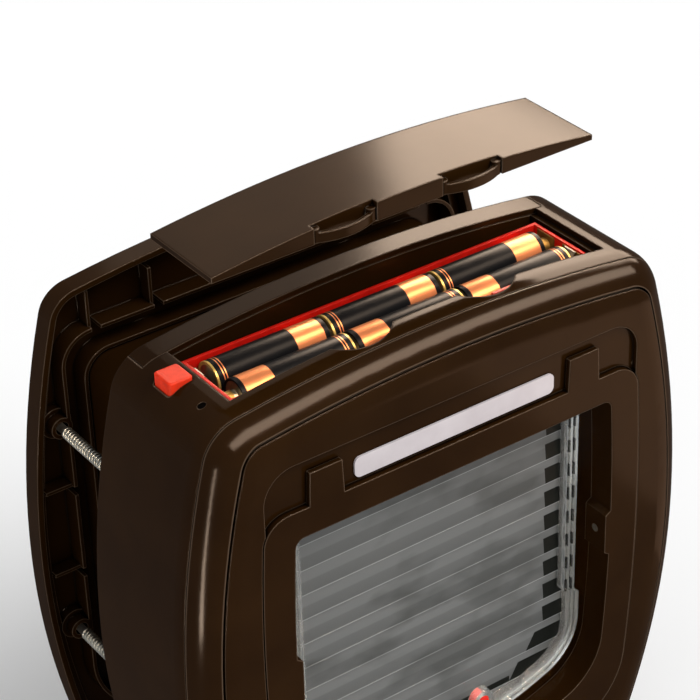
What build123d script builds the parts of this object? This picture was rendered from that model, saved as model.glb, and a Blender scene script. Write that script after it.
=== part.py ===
"""Electronic cat flap: indoor unit with battery well, clear flap and outdoor frame.

Millimetres.  X is to the right seen from indoors, -Y is indoors, +Y is
outdoors and Z is up.  The origin lies on the door face of the indoor unit.
"""

import math
import os

from build123d import *

# Round cells, type R6: two rows of three lie across the unit and set its width
cell_length = 50.5
cell_radius = 7.1
cell_pitch = 15.1
nub_radius = 2.75
nub_length = 1.2

# Battery tray and its contacts
tray_wall = 1.4
tray_play = 0.2
tray_high = 14.1
divider_high = 5.5
divider_thick = 0.7
rim_step = 3.0
contact_room = 4.25
contact_thick = 0.5
contact_half = 5.0
leaf_half = 3.0
leaf_thick = 0.5
row_half = 1.5 * cell_length
trough_half = row_half + contact_room
tray_half = trough_half + tray_wall

# Battery well round the tray
end_ledge = 2.2
end_play = 0.9
flange_deep = 11.6
row_margin = 12.4
front_margin = 4.2
well_wall = 1.4
floor_thick = 2.0
well_half = tray_half + end_play + end_ledge
well_back = -flange_deep
cell_back_row = well_back - row_margin
cell_front_row = cell_back_row - cell_pitch
trough_back = cell_back_row + cell_radius + tray_play
trough_front = cell_front_row - cell_radius - tray_play
well_front = trough_front - tray_wall - front_margin

# Indoor unit: overall form
shoulder = 32.5
front_lip = 20.0
half_width = well_half + shoulder
unit_depth = front_lip - well_front
top_level = 124.0
bottom_level = -126.0
widest_level = 2.0
side_radius_high = 390.0
side_radius_low = 300.0
crown_radius = 630.0
top_corner = 18.0
bottom_corner = 32.0
front_round = 17.0
back_edge = 1.6
wall = 2.4
room_chamfer = 8.0
mouth_inset = 6.0
cover_depth = 11.0
seam_gap = 0.4
seam_depth = unit_depth - cover_depth

# Bead groove round the face
bead_side_inset = 10.6
bead_top_inset = 8.6
bead_width = 0.9
bead_depth = 3.1
bead_floor = unit_depth - bead_depth

# Levels of the well, measured down from the crown
well_depth = 23.5
ledge_drop = 8.2
notch_depth = 18.0
notch_x = 28.0
notch_radius = 16.5
notch_set = 9.5
well_floor = top_level - well_depth
ledge_level = top_level - ledge_drop
notch_floor = top_level - notch_depth
notch_y = well_front + notch_set
tray_rim = well_floor + tray_high
divider_top = well_floor + divider_high
cell_level = well_floor + tray_wall + cell_radius

# Recessed band, bezel plate and its two grip tabs
band_margin = 31.5
band_drop = 27.3
band_high = 19.9
band_depth = 2.2
band_corner = 13.0
band_back = 2.6
bezel_over = 3.0
bezel_foot = 30.0
bezel_border = 13.5
bezel_head = 12.0
bezel_proud = 0.3
bezel_thick = 3.0
bezel_corner = 11.0
bezel_low_corner = 32.0
bezel_floor_radius = 480.0
bezel_gap = 0.5
ledge_width = 4.0
tab_margin = 22.5
tab_width = 13.9
tab_drop = 5.8
tab_draft = 0.7
tab_clear = 0.3
band_half = half_width - band_margin
band_top = top_level - band_drop
band_floor = unit_depth - band_depth
bezel_half = band_half + bezel_over
bezel_top = band_top - band_high
bezel_bottom = bottom_level + bezel_foot
bezel_front = unit_depth + bezel_proud
tab_outer = bezel_half - tab_margin
tab_inner = tab_outer - tab_width
tab_top = band_top - tab_drop

# Window, lip and sensor pads
window_level = 12.0
window_radius = 760.0
window_floor_radius = 160.0
window_corner = 4.0
window_low_corner = 27.0
lip_depth = 12.1
lip_wall = 2.0
pad_level = 1.0
pad_tall = 20.0
pad_proud = 2.5
sensor_radius = 1.6
sensor_set = 6.3
window_half = bezel_half - bezel_border
window_top = bezel_top - bezel_head
window_bottom = bezel_bottom + bezel_border
lip_back = bezel_front - lip_depth
pad_high = pad_level + pad_tall / 2
pad_low = pad_level - pad_tall / 2
pad_face = window_half - pad_proud
sensor_depth = bezel_front - sensor_set

# Bare plate in the band
plate_margin = 6.4
plate_drop = 9.2
plate_tall = 8.7
plate_corner = 2.6
plate_thick = 0.8
plate_half = tab_inner - plate_margin
plate_high = band_top - plate_drop
plate_low = plate_high - plate_tall

# Battery lid, drawn lifted off its seat
lid_gap = 0.5
lid_back_gap = 0.8
lid_thick = 2.2
lid_rise = 45.3
lid_drift = 7.0
skirt_thick = 1.4
skirt_lift = 0.4
tongue_half = 13.5
tongue_gap = 3.0
tongue_reach = 2.4
tongue_radius = 27.0
tongue_thick = 1.6
tongue_high = 4.0
knob_radius = 1.8
knob_set = 1.5
knob_back = 2.1
skirt_level = ledge_level + skirt_lift

# Top flange that closes the well at the door side
flange_over_left = 10.1
flange_over_right = 3.5
flange_gap = 0.3
flange_left = -well_half - flange_over_left
flange_right = well_half + flange_over_right

# Push button, lamp pipe, switch and board
button_margin = 6.9
button_set = 15.0
button_across = 10.0
button_along = 11.0
button_drop = 4.7
button_gap = 0.35
button_travel = 0.8
button_edge = 0.5
guide_drop = 11.8
guide_margin = 3.6
foot_thick = 1.4
foot_shift = 1.4
foot_inset = 3.4
pipe_margin = 7.8
pipe_set = 19.8
pipe_radius = 1.5
board_lift = 0.5
board_thick = 1.6
board_margin = 17.0
board_back_gap = 2.4
board_front_gap = 1.0
switch_half = 3.0
switch_high = 3.5
plunger_radius = 1.7
plunger_high = 1.0
button_x = -well_half - button_margin
button_y = well_back - button_set
button_top = top_level - button_drop
guide_level = top_level - guide_drop
pipe_x = -well_half - pipe_margin
pipe_y = button_y - pipe_set
board_level = well_floor + board_lift
board_left = -half_width + board_margin
board_back = well_back - board_back_gap
board_front = well_front + board_front_gap

# Door plate and tunnel sleeve
plate_depth = 3.0
plate_fit = 0.3
sleeve_step = 3.5
sleeve_head = 5.2
sleeve_foot = 2.5
sleeve_wall = 2.0
sleeve_gap = 0.6
coil_inner = 0.05
coil_thick = 2.4
coil_back = -26.0
coil_wide = 14.0
sleeve_half = window_half + sleeve_step
sleeve_top = window_top + sleeve_head
sleeve_bottom = window_bottom - sleeve_foot
sleeve_front = lip_back - sleeve_gap

# Flap and its axle
axle_drop = 6.8
axle_back = 6.2
axle_radius = 1.5
axle_play = 0.08
axle_bite = 3.0
axle_boss = 4.5
boss_cap = 1.5
barrel_radius = 4.4
flap_gap = 5.5
flap_flare = 2.5
flap_foot = 2.0
step_high = 47.5
flap_floor_radius = 160.0
flap_low_corner = 25.0
flap_rim = 7.0
rim_half_depth = 4.0
ridge_width = 0.9
ridge_depth = 1.2
ridge_insets = (1.9, 4.2)
sheet_back = 1.4
sheet_front = 0.4
prism_pitch = 11.4
prism_rise = 1.3
boss_x = 22.0
boss_high = 12.5
boss_radius = 5.5
boss_proud = 0.8
magnet_radius = 3.0
axle_level = window_top - axle_drop
axle_y = axle_back - lip_back
axle_half = sleeve_half + axle_bite
flap_half = window_half - flap_gap
flap_low_half = flap_half + flap_flare
flap_bottom = window_bottom + flap_foot
flap_step = flap_bottom + step_high
boss_level = flap_bottom + boss_high
prism_count = int((axle_level - flap_bottom) / prism_pitch)

# Latch and magnets under the sill
sill_magnet_x = 8.0
sill_magnet_y = 5.0
sill_magnet_z = 4.0
pocket_wall = 1.5
pocket_play = 0.05
latch_back = 9.0
prong_half = 2.0
prong_play = 0.5
prong_peep = 0.6
bar_over = 6.0
bar_drop = 11.0
bar_high = 5.0
bar_gap = 1.5
stem_radius = 2.0
stem_play = 0.35
stem_length = 9.0
coil_box_half = 13.0
coil_box_deep = 8.0
coil_pad = 6.0
coil_pad_over = 1.5
latch_y = axle_y + latch_back
prong_top = sleeve_bottom + prong_peep
bar_half = boss_x + bar_over
bar_top = sleeve_bottom - bar_drop
coil_box_top = bar_top - bar_high - bar_gap
coil_box_base = bottom_level + coil_pad

# Outdoor frame
door_gap = 51.6
frame_depth = 11.9
frame_margin = 4.4
frame_drop = 3.0
frame_foot = 2.0
frame_level = -3.0
frame_side_radius = 400.0
frame_low_radius = 360.0
frame_crown = 600.0
frame_corner = 14.0
frame_low_corner = 32.0
frame_wall = 2.6
frame_base = 2.4
frame_edge = 3.0
step_width = 4.0
step_set = 5.9
fence_margin = 18.1
fence_head = 26.0
fence_foot = 27.0
fence_corner = 14.0
fence_low_corner = 34.0
fence_wall = 1.5
fence_set = 0.8
mouth_margin = 9.2
mouth_head = 10.0
mouth_foot = 6.0
mouth_corner = 12.0
mouth_low_corner = 32.0
mouth_wall = 1.6
slot_width = 4.0
slot_insets = (44.5, 16.5)
slot_drops = (70.0, 110.0)
rib_thick = 1.4
rib_top = 17.0
rib_side = 13.0
rib_bite = 1.5
rib_set = 2.1
frame_half = half_width - frame_margin
frame_top = top_level - frame_drop
frame_bottom = bottom_level + frame_foot
frame_front = door_gap
frame_back = frame_front + frame_depth
step_front = frame_front + step_set
fence_half = frame_half - fence_margin
fence_top = frame_top - fence_head
fence_bottom = frame_bottom + fence_foot
fence_front = frame_front + fence_set
mouth_half = fence_half - mouth_margin
mouth_top = fence_top - mouth_head
mouth_bottom = fence_bottom + mouth_foot
rib_front = fence_front + rib_set

# Tunnel through the door, slid into the mouth of the outdoor frame
tunnel_gap = 0.5
tunnel_wall = 1.6
tunnel_end = 2.0
tunnel_inset = mouth_wall + tunnel_gap
tunnel_back = frame_back - tunnel_end

# Long fixing screws and case screws
screw_margin_high = 20.0
screw_margin_low = 19.0
screw_drop = 65.0
screw_rise = 82.0
screw_radius = 2.5
screw_fit = 0.03
screw_clear = 0.25
screw_bite = 15.0
screw_head = 4.5
screw_head_high = 3.0
boss_deep = 18.0
boss_wall = 2.5
frame_boss = 4.6
frame_boss_back = 6.6
boss_step_set = 4.6
post_margin_high = 22.5
post_margin_low = 43.0
post_drop = 40.0
post_rise = 18.0
post_radius = 4.0
post_end = 0.1
post_root = 0.5
case_radius = 1.5
case_head = 2.9
case_head_high = 1.6
case_length = 18.0
screw_places = (
    (half_width - screw_margin_high, frame_top - screw_drop),
    (half_width - screw_margin_low, frame_bottom + screw_rise),
)
post_places = (
    (half_width - post_margin_high, top_level - post_drop),
    (half_width - post_margin_low, bottom_level + post_rise),
)
boss_step = fence_front + boss_step_set


def at_y(y):
    """Sketch plane across the unit at depth y; the sketch's own y is Z."""
    return Plane.XZ.offset(-y)


def both_sides(places):
    """Mirror a list of places to the left."""
    return [(side * x, z) for x, z in places for side in (1, -1)]


def meet(side_x, side_z, side_r, end_z, end_r, upper):
    """Right-hand corner of a side arc and a top or bottom arc centred on x = 0."""
    span = math.hypot(side_x, end_z - side_z)
    ux = -side_x / span
    uz = (end_z - side_z) / span
    along = (side_r**2 - end_r**2 + span**2) / (2 * span)
    across = math.sqrt(side_r**2 - along**2)
    found = []
    for side in (1, -1):
        px = side_x + along * ux - side * across * uz
        pz = side_z + along * uz + side * across * ux
        if px > 0:
            found.append((px, pz))
    found.sort(key=lambda p: p[1])
    return found[-1] if upper else found[0]


def barrel(half, level, high_r, low_r, top, bottom, end_r, r_top, r_low, mode=Mode.ADD):
    """Bowed sides, arched top and bottom, rounded corners."""
    hx, hz = meet(half - high_r, level, high_r, top - end_r, end_r, True)
    lx, lz = meet(half - low_r, level, low_r, bottom + end_r, end_r, False)
    hm = ((level + hz) / 2, (level + lz) / 2)
    hmx = half - high_r + math.sqrt(high_r**2 - (hm[0] - level) ** 2)
    lmx = half - low_r + math.sqrt(low_r**2 - (hm[1] - level) ** 2)
    with BuildLine() as outline:
        ThreePointArc((-hx, hz), (0, top), (hx, hz))
        ThreePointArc((hx, hz), (hmx, hm[0]), (half, level))
        ThreePointArc((half, level), (lmx, hm[1]), (lx, lz))
        ThreePointArc((lx, lz), (0, bottom), (-lx, lz))
        ThreePointArc((-lx, lz), (-lmx, hm[1]), (-half, level))
        ThreePointArc((-half, level), (-hmx, hm[0]), (-hx, hz))
        fillet(outline.vertices().group_by(Axis.Y)[-1], r_top)
        fillet(outline.vertices().group_by(Axis.Y)[0], r_low)
    make_face(outline.edges(), mode=mode)


def unit_outline(side_inset, top_inset, mode=Mode.ADD):
    """Outline of the indoor unit, moved inwards."""
    barrel(
        half_width - side_inset,
        widest_level,
        side_radius_high - side_inset,
        side_radius_low - side_inset,
        top_level - top_inset,
        bottom_level + top_inset,
        crown_radius - top_inset,
        max(top_corner - 0.9 * top_inset, 3.0),
        max(bottom_corner - 0.9 * top_inset, 8.0),
        mode,
    )


def frame_outline(inset, mode=Mode.ADD):
    """Outline of the outdoor frame, moved inwards."""
    barrel(
        frame_half - inset,
        frame_level,
        frame_side_radius - inset,
        frame_low_radius - inset,
        frame_top - inset,
        frame_bottom + inset,
        frame_crown - inset,
        frame_corner - inset,
        frame_low_corner - inset,
        mode,
    )


def panel(half, top, bottom, end_r, r_top, r_low, grow, mode):
    """Bowed sides, straight top, arched bottom, grown outwards."""
    side_r = window_radius + grow
    side_x = half - window_radius
    peak = top + grow
    reach = side_x + math.sqrt(side_r**2 - (peak - window_level) ** 2)
    lx, lz = meet(side_x, window_level, side_r, bottom + end_r, end_r + grow, False)
    with BuildLine() as outline:
        Line((-reach, peak), (reach, peak))
        ThreePointArc((reach, peak), (half + grow, window_level), (lx, lz))
        ThreePointArc((lx, lz), (0, bottom - grow), (-lx, lz))
        ThreePointArc((-lx, lz), (-half - grow, window_level), (-reach, peak))
        fillet(outline.vertices().group_by(Axis.Y)[-1], max(r_top + grow, 1.0))
        fillet(outline.vertices().group_by(Axis.Y)[0], r_low + grow)
    make_face(outline.edges(), mode=mode)


def window(grow=0.0, mode=Mode.ADD):
    """Outline of the window in the bezel."""
    panel(
        window_half,
        window_top,
        window_bottom,
        window_floor_radius,
        window_corner,
        window_low_corner,
        grow,
        mode,
    )


def bezel_outline(grow=0.0, mode=Mode.ADD):
    """Outline of the bezel plate without its tabs."""
    panel(
        bezel_half,
        bezel_top,
        bezel_bottom,
        bezel_floor_radius,
        bezel_corner,
        bezel_low_corner,
        grow,
        mode,
    )


def sleeve_outline(grow=0.0, mode=Mode.ADD):
    """Outline of the tunnel sleeve."""
    panel(
        sleeve_half,
        sleeve_top,
        sleeve_bottom,
        window_floor_radius,
        window_corner,
        window_low_corner,
        grow,
        mode,
    )


def gate(half, top, bottom, r_top, r_low, grow=0.0, mode=Mode.ADD):
    """Upright rectangle with two corner radii, grown outwards."""
    with BuildLine() as outline:
        Polyline(
            (-half - grow, top + grow),
            (half + grow, top + grow),
            (half + grow, bottom - grow),
            (-half - grow, bottom - grow),
            close=True,
        )
        fillet(outline.vertices().group_by(Axis.Y)[-1], r_top + grow)
        fillet(outline.vertices().group_by(Axis.Y)[0], r_low + grow)
    make_face(outline.edges(), mode=mode)


def fence_outline(inset=0.0, mode=Mode.ADD):
    """Outline of the fence on the outdoor frame, moved inwards."""
    gate(fence_half, fence_top, fence_bottom, fence_corner, fence_low_corner, -inset, mode)


def tunnel_outline(inset=0.0, mode=Mode.ADD):
    """Outline of the mouth of the outdoor frame, moved inwards."""
    gate(mouth_half, mouth_top, mouth_bottom, mouth_corner, mouth_low_corner, -inset, mode)


def flap_outline(inset=0.0, mode=Mode.ADD):
    """Outline of the flap: narrow above, wider below the step."""
    upper = flap_half - inset
    lower = flap_low_half - inset
    step = flap_step + 0.4 * inset
    arc_r = flap_floor_radius - inset
    bottom = flap_bottom + inset
    low_z = bottom + arc_r - math.sqrt(arc_r**2 - lower**2)
    with BuildLine() as outline:
        Polyline(
            (-lower, low_z),
            (-lower, step - 2.5),
            (-upper, step),
            (-upper, axle_level),
            (upper, axle_level),
            (upper, step),
            (lower, step - 2.5),
            (lower, low_z),
        )
        ThreePointArc((lower, low_z), (0, bottom), (-lower, low_z))
        fillet(outline.vertices().group_by(Axis.Y)[0], flap_low_corner - inset)
    make_face(outline.edges(), mode=mode)


def crown_slab(left, right, low, high_r, low_r):
    """Arched strip across the top of the unit, between two radii."""
    with Locations(((left + right) / 2, (low + top_level + 10) / 2)):
        Rectangle(right - left, top_level + 10 - low)
    with Locations((0, top_level - crown_radius)):
        Circle(high_r, mode=Mode.INTERSECT)
        Circle(low_r, mode=Mode.SUBTRACT)


def crown_z(x):
    """Height of the arched top over x."""
    return top_level - crown_radius + math.sqrt(crown_radius**2 - x**2)


os.makedirs("parts", exist_ok=True)


def save(part, name):
    """Label one sub-part and write it."""
    part.label = name
    export_step(part, "parts/" + name + ".step")


# Full outer form of the indoor unit, and the room inside it
with BuildPart() as form:
    with BuildSketch(at_y(0)):
        unit_outline(0, 0)
    extrude(amount=unit_depth)
    fillet(form.faces().sort_by(Axis.Y)[0].edges(), front_round)
    chamfer(form.faces().sort_by(Axis.Y)[-1].edges(), back_edge)

with BuildPart() as room:
    with BuildSketch(at_y(-plate_depth - plate_fit)):
        unit_outline(wall, wall)
    extrude(amount=unit_depth - wall - plate_depth - plate_fit)
    chamfer(room.faces().sort_by(Axis.Y)[0].edges(), room_chamfer)
    with BuildSketch(at_y(1)):
        unit_outline(mouth_inset, mouth_inset)
    extrude(amount=plate_depth + 2)

with BuildPart() as skin:
    add(form.part)
    add(room.part, mode=Mode.SUBTRACT)

# Front cover: pillow-shaped front with bead groove, band and bezel seat
with BuildPart() as front_cover:
    add(skin.part)
    split(bisect_by=Plane((0, -seam_depth, 0), z_dir=(0, -1, 0)), keep=Keep.TOP)
    # Thicker floor behind the band
    with BuildSketch(at_y(-band_floor - 1.2)):
        with Locations((0, (band_top + bezel_top) / 2)):
            RectangleRounded(2 * band_half + 6, band_top - bezel_top + 10, band_corner)
    extrude(amount=-band_back - 1.2)
    # Seat ring for the bezel
    with BuildSketch(at_y(-bezel_front + 1.2)):
        bezel_outline(bezel_gap + 2.0)
    extrude(amount=-bezel_thick - 1.8)
    with BuildSketch(at_y(-unit_depth - 2)):
        bezel_outline(-ledge_width)
    extrude(amount=-20, mode=Mode.SUBTRACT)
    with BuildSketch(at_y(-unit_depth - 2)):
        bezel_outline(bezel_gap)
    extrude(amount=-unit_depth - 2 + bezel_front - bezel_thick, mode=Mode.SUBTRACT)
    # Recessed band above the bezel
    with BuildSketch(at_y(-unit_depth - 2)):
        with BuildLine() as band_line:
            Polyline(
                (-band_half, bezel_top - band_corner),
                (-band_half, band_top),
                (band_half, band_top),
                (band_half, bezel_top - band_corner),
                close=True,
            )
            fillet(band_line.vertices().group_by(Axis.Y)[-1], band_corner)
        make_face()
    extrude(amount=-unit_depth - 2 + band_floor, mode=Mode.SUBTRACT)
    # Posts for the case screws
    with BuildSketch(at_y(-plate_depth - post_end)):
        with Locations(*both_sides(post_places)):
            Circle(post_radius)
    extrude(amount=unit_depth - plate_depth - post_end - wall + post_root)
    with BuildSketch(at_y(-plate_depth - post_end)):
        with Locations(*both_sides(post_places)):
            Circle(case_radius + screw_fit)
    extrude(amount=case_length, mode=Mode.SUBTRACT)
    # Bead groove round the face
    with BuildSketch(at_y(-unit_depth - 2)):
        unit_outline(bead_side_inset, bead_top_inset)
        unit_outline(bead_side_inset + bead_width, bead_top_inset + bead_width, Mode.SUBTRACT)
    extrude(amount=-unit_depth - 2 + bead_floor, mode=Mode.SUBTRACT)
save(front_cover.part, "front_cover")

# Inner bezel: plate with the window, two grip tabs, lip and sensor pads
with BuildPart() as inner_bezel:
    with BuildSketch(at_y(-bezel_front)):
        bezel_outline()
    extrude(amount=-bezel_thick)
    with BuildSketch(at_y(-bezel_front)):
        for side in (1, -1):
            with BuildLine():
                Polyline(
                    (side * tab_inner, tab_top),
                    (side * tab_outer, tab_top),
                    (side * (tab_outer + tab_draft), bezel_top - 2),
                    (side * (tab_inner - tab_draft), bezel_top - 2),
                    close=True,
                )
            make_face()
    extrude(amount=-bezel_front + band_floor + tab_clear)
    with BuildSketch(at_y(-bezel_front + bezel_thick)):
        window(lip_wall)
    extrude(amount=-bezel_front + bezel_thick + lip_back)
    with BuildSketch(at_y(-bezel_front)):
        window()
    extrude(amount=-bezel_front + lip_back, mode=Mode.SUBTRACT)
    # Raised pads on both cheeks carry the sensors
    with BuildSketch(at_y(-bezel_front)):
        for side in (1, -1):
            with BuildLine():
                Polyline(
                    (side * pad_face, pad_high - 1),
                    (side * (window_half + 0.5), pad_high + 1),
                    (side * (window_half + 0.5), pad_low - 1),
                    (side * pad_face, pad_low + 1),
                    close=True,
                )
            make_face()
    extrude(amount=-bezel_front + lip_back)
    with BuildSketch(Plane.YZ.offset(-window_half - 10)):
        with Locations((-sensor_depth, pad_level)):
            Circle(sensor_radius + screw_fit)
    extrude(amount=2 * window_half + 20, mode=Mode.SUBTRACT)
save(inner_bezel.part, "inner_bezel")

with BuildPart() as sensor_lenses:
    for side in (1, -1):
        with BuildSketch(Plane.YZ.offset(side * pad_face)):
            with Locations((-sensor_depth, pad_level)):
                Circle(sensor_radius)
        extrude(amount=side * (window_half + lip_wall - pad_face))
save(sensor_lenses.part, "sensor_lenses")

# Bare plate stuck in the band
with BuildPart() as name_plate:
    with BuildSketch(at_y(-band_floor)):
        with Locations((0, (plate_low + plate_high) / 2)):
            RectangleRounded(2 * plate_half, plate_high - plate_low, plate_corner)
    extrude(amount=plate_thick)
save(name_plate.part, "name_plate")

# Rear body: shell with battery well, button guide and board shelf
well_y = (well_back + well_front) / 2
well_deep = well_back - well_front
guide_x = button_across / 2 + button_gap
guide_y = button_along / 2 + button_gap

with BuildPart() as rear_body:
    # Well box, button guide and latch pad, trimmed to the outer form
    with BuildSketch(Plane.XY.offset(well_floor - floor_thick)):
        with Locations((0, well_y)):
            Rectangle(2 * (well_half + well_wall), well_deep + 2 * well_wall)
    extrude(amount=top_level - well_floor + floor_thick + 5)
    with BuildSketch(Plane.XY.offset(guide_level)):
        with Locations((button_x - 0.5, button_y)):
            Rectangle(2 * guide_x + 2.6, 2 * guide_y + 2 * guide_margin)
    extrude(amount=top_level - guide_level)
    with BuildSketch(Plane.XY.offset(bottom_level)):
        with Locations((0, latch_y)):
            Rectangle(2 * (coil_box_half + coil_pad_over), 2 * (coil_box_deep + coil_pad_over))
    extrude(amount=coil_box_base - bottom_level)
    add(form.part, mode=Mode.INTERSECT)
    add(skin.part)
    # Shelf for the board, off the end wall of the well
    with BuildSketch(Plane.XY.offset(well_floor - floor_thick)):
        with Locations(((board_left - well_half - well_wall + 2) / 2, (board_back + board_front) / 2)):
            Rectangle(-board_left - well_half - well_wall - 1, 12)
    extrude(amount=board_level - well_floor + floor_thick)
    split(bisect_by=Plane((0, -seam_depth + seam_gap, 0), z_dir=(0, 1, 0)), keep=Keep.TOP)
    # Pocket of the well with a ledge at each end for the lid
    with BuildSketch(Plane.XY.offset(ledge_level)):
        with Locations((0, well_y)):
            Rectangle(2 * well_half, well_deep)
    extrude(amount=ledge_drop + 10, mode=Mode.SUBTRACT)
    with BuildSketch(Plane.XY.offset(well_floor)):
        with Locations((0, well_y)):
            Rectangle(2 * (well_half - end_ledge), well_deep)
    extrude(amount=well_depth, mode=Mode.SUBTRACT)
    # Finger notches in the front edge of the well
    with BuildSketch(Plane.XY.offset(notch_floor)):
        with Locations((notch_x, notch_y), (-notch_x, notch_y)):
            Circle(notch_radius)
        with Locations((0, notch_y + notch_radius)):
            Rectangle(2 * well_half, 2 * (notch_radius + notch_set), mode=Mode.SUBTRACT)
    extrude(amount=notch_depth + 10, mode=Mode.SUBTRACT)
    # Seat of the door plate's top flange
    with BuildSketch(at_y(1)):
        crown_slab(
            flange_left - flange_gap,
            flange_right + flange_gap,
            well_floor,
            crown_radius + 8,
            crown_radius - wall - flange_gap,
        )
    extrude(amount=1 - well_back, mode=Mode.SUBTRACT)
    with BuildSketch(at_y(1)):
        with Locations(((flange_left + flange_right) / 2, top_level - 8)):
            Rectangle(flange_right - flange_left + 2 * flange_gap, 22)
    extrude(amount=1 + plate_depth + plate_fit, mode=Mode.SUBTRACT)
    # Openings for the button and the lamp pipe
    with BuildSketch(Plane.XY.offset(guide_level - 1)):
        with Locations((button_x, button_y)):
            RectangleRounded(2 * guide_x, 2 * guide_y, 1.6)
        with Locations((pipe_x, pipe_y)):
            Circle(pipe_radius + screw_fit)
    extrude(amount=20, mode=Mode.SUBTRACT)
save(rear_body.part, "rear_body")

# Door plate: closes the unit, carries the tunnel sleeve and the top flange
with BuildPart() as flange:
    with BuildSketch(at_y(0)):
        crown_slab(flange_left, flange_right, well_floor, crown_radius + 8, crown_radius - wall)
    extrude(amount=-well_back)
    with BuildSketch(at_y(0)):
        with Locations(((flange_left + flange_right) / 2, top_level - 8)):
            Rectangle(flange_right - flange_left, 20)
    extrude(amount=plate_depth)
    add(form.part, mode=Mode.INTERSECT)

with BuildPart() as door_plate:
    with BuildSketch(at_y(0)):
        unit_outline(mouth_inset + plate_fit, mouth_inset + plate_fit)
    extrude(amount=plate_depth)
    add(flange.part)
    with BuildSketch(at_y(0)):
        sleeve_outline(sleeve_wall)
    extrude(amount=sleeve_front)
    # Tunnel through the door, a slide fit in the mouth of the outdoor frame
    with BuildSketch(at_y(tunnel_back)):
        tunnel_outline(tunnel_inset)
        tunnel_outline(tunnel_inset + tunnel_wall, Mode.SUBTRACT)
    extrude(amount=tunnel_back + plate_depth / 2)
    # Bearings for the axle, and pockets for the sill magnets
    for side in (1, -1):
        with BuildSketch(Plane.YZ.offset(side * (axle_half + boss_cap))):
            with Locations((axle_y, axle_level)):
                Circle(axle_boss)
        extrude(amount=-side * 10)
    with BuildSketch(Plane.XY.offset(sleeve_bottom - sleeve_wall - sill_magnet_z)):
        with Locations((boss_x, axle_y), (-boss_x, axle_y)):
            Rectangle(sill_magnet_x + 2 * pocket_wall, sill_magnet_y + 2 * pocket_wall)
    extrude(amount=sill_magnet_z + 6)
    # Bosses for the long screws
    with BuildSketch(at_y(0)):
        with Locations(*both_sides(screw_places)):
            Circle(screw_radius + boss_wall)
    extrude(amount=boss_deep)
    # Way through, bores and slots
    with BuildSketch(at_y(1)):
        sleeve_outline()
    extrude(amount=sleeve_front + 2, mode=Mode.SUBTRACT)
    with BuildSketch(Plane.YZ.offset(-axle_half)):
        with Locations((axle_y, axle_level)):
            Circle(axle_radius + screw_fit)
    extrude(amount=2 * axle_half, mode=Mode.SUBTRACT)
    with BuildSketch(Plane.XY.offset(sleeve_bottom - sleeve_wall - sill_magnet_z)):
        with Locations((boss_x, axle_y), (-boss_x, axle_y)):
            Rectangle(sill_magnet_x + 2 * pocket_play, sill_magnet_y + 2 * pocket_play)
    extrude(amount=sill_magnet_z, mode=Mode.SUBTRACT)
    with BuildSketch(Plane.XY.offset(sleeve_bottom - 10)):
        with Locations((boss_x, latch_y), (-boss_x, latch_y)):
            Rectangle(2 * (prong_half + prong_play), 2 * (prong_half + prong_play))
    extrude(amount=20, mode=Mode.SUBTRACT)
    with BuildSketch(at_y(1)):
        with Locations(*both_sides(screw_places)):
            Circle(screw_radius + screw_fit)
    extrude(amount=boss_deep - 1, mode=Mode.SUBTRACT)
    with BuildSketch(at_y(1)):
        with Locations(*both_sides(post_places)):
            Circle(case_radius + screw_fit)
    extrude(amount=plate_depth + 2, mode=Mode.SUBTRACT)
    with BuildSketch(at_y(1)):
        with Locations(*both_sides(post_places)):
            Circle(case_head + 0.15)
    extrude(amount=1 + case_head_high, mode=Mode.SUBTRACT)
save(door_plate.part, "door_plate")

# Case screws hold the door plate to the posts of the front cover
with BuildPart() as case_screws:
    with BuildSketch(at_y(0)):
        with Locations(*both_sides(post_places)):
            Circle(case_head)
    extrude(amount=case_head_high)
    with BuildSketch(at_y(-case_head_high)):
        with Locations(*both_sides(post_places)):
            Circle(case_radius)
    extrude(amount=case_length - case_head_high)
save(case_screws.part, "case_screws")

# Battery tray: open moulded trough for two rows of three cells
with BuildPart() as battery_tray:
    with BuildSketch(Plane.XY.offset(well_floor)):
        with Locations((0, (trough_back + trough_front) / 2)):
            Rectangle(2 * tray_half, trough_back - trough_front + 2 * tray_wall)
    extrude(amount=tray_high)
    with BuildSketch(Plane.XY.offset(well_floor + tray_wall)):
        with Locations((0, (trough_back + trough_front) / 2)):
            Rectangle(2 * trough_half, trough_back - trough_front)
    extrude(amount=tray_high, mode=Mode.SUBTRACT)
    # Low rib between the rows, and steps in the front rim over the joints of the cells
    with BuildSketch(Plane.XY.offset(well_floor + tray_wall)):
        with Locations((0, cell_back_row - cell_pitch / 2)):
            Rectangle(2 * trough_half, divider_thick)
    extrude(amount=divider_top - well_floor - tray_wall)
    with BuildSketch(Plane.XY.offset(tray_rim - rim_step)):
        with Locations((cell_length / 2, trough_front), (-cell_length / 2, trough_front)):
            Rectangle(20, 6)
    extrude(amount=5, mode=Mode.SUBTRACT)
save(battery_tray.part, "battery_tray")

# Six round cells, every second row turned end for end
cell_number = 0
for row_y, way in ((cell_back_row, 1), (cell_front_row, -1)):
    for place in (-1, 0, 1):
        cell_number += 1
        foot_x = place * cell_length - way * cell_length / 2
        with BuildPart() as cell:
            with BuildSketch(Plane((foot_x, row_y, cell_level), (0, way, 0), (way, 0, 0))):
                Circle(cell_radius)
            extrude(amount=cell_length - nub_length)
            with BuildSketch(Plane((foot_x, row_y, cell_level), (0, way, 0), (way, 0, 0))):
                Circle(nub_radius)
            extrude(amount=cell_length)
        save(cell.part, "cell_" + str(cell_number))

# Brass contacts at both ends of the rows: raised pad at plus, leaf spring at minus
reach = trough_half - contact_thick - row_half
end_places = ((1, cell_back_row, cell_front_row), (-1, cell_front_row, cell_back_row))

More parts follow.
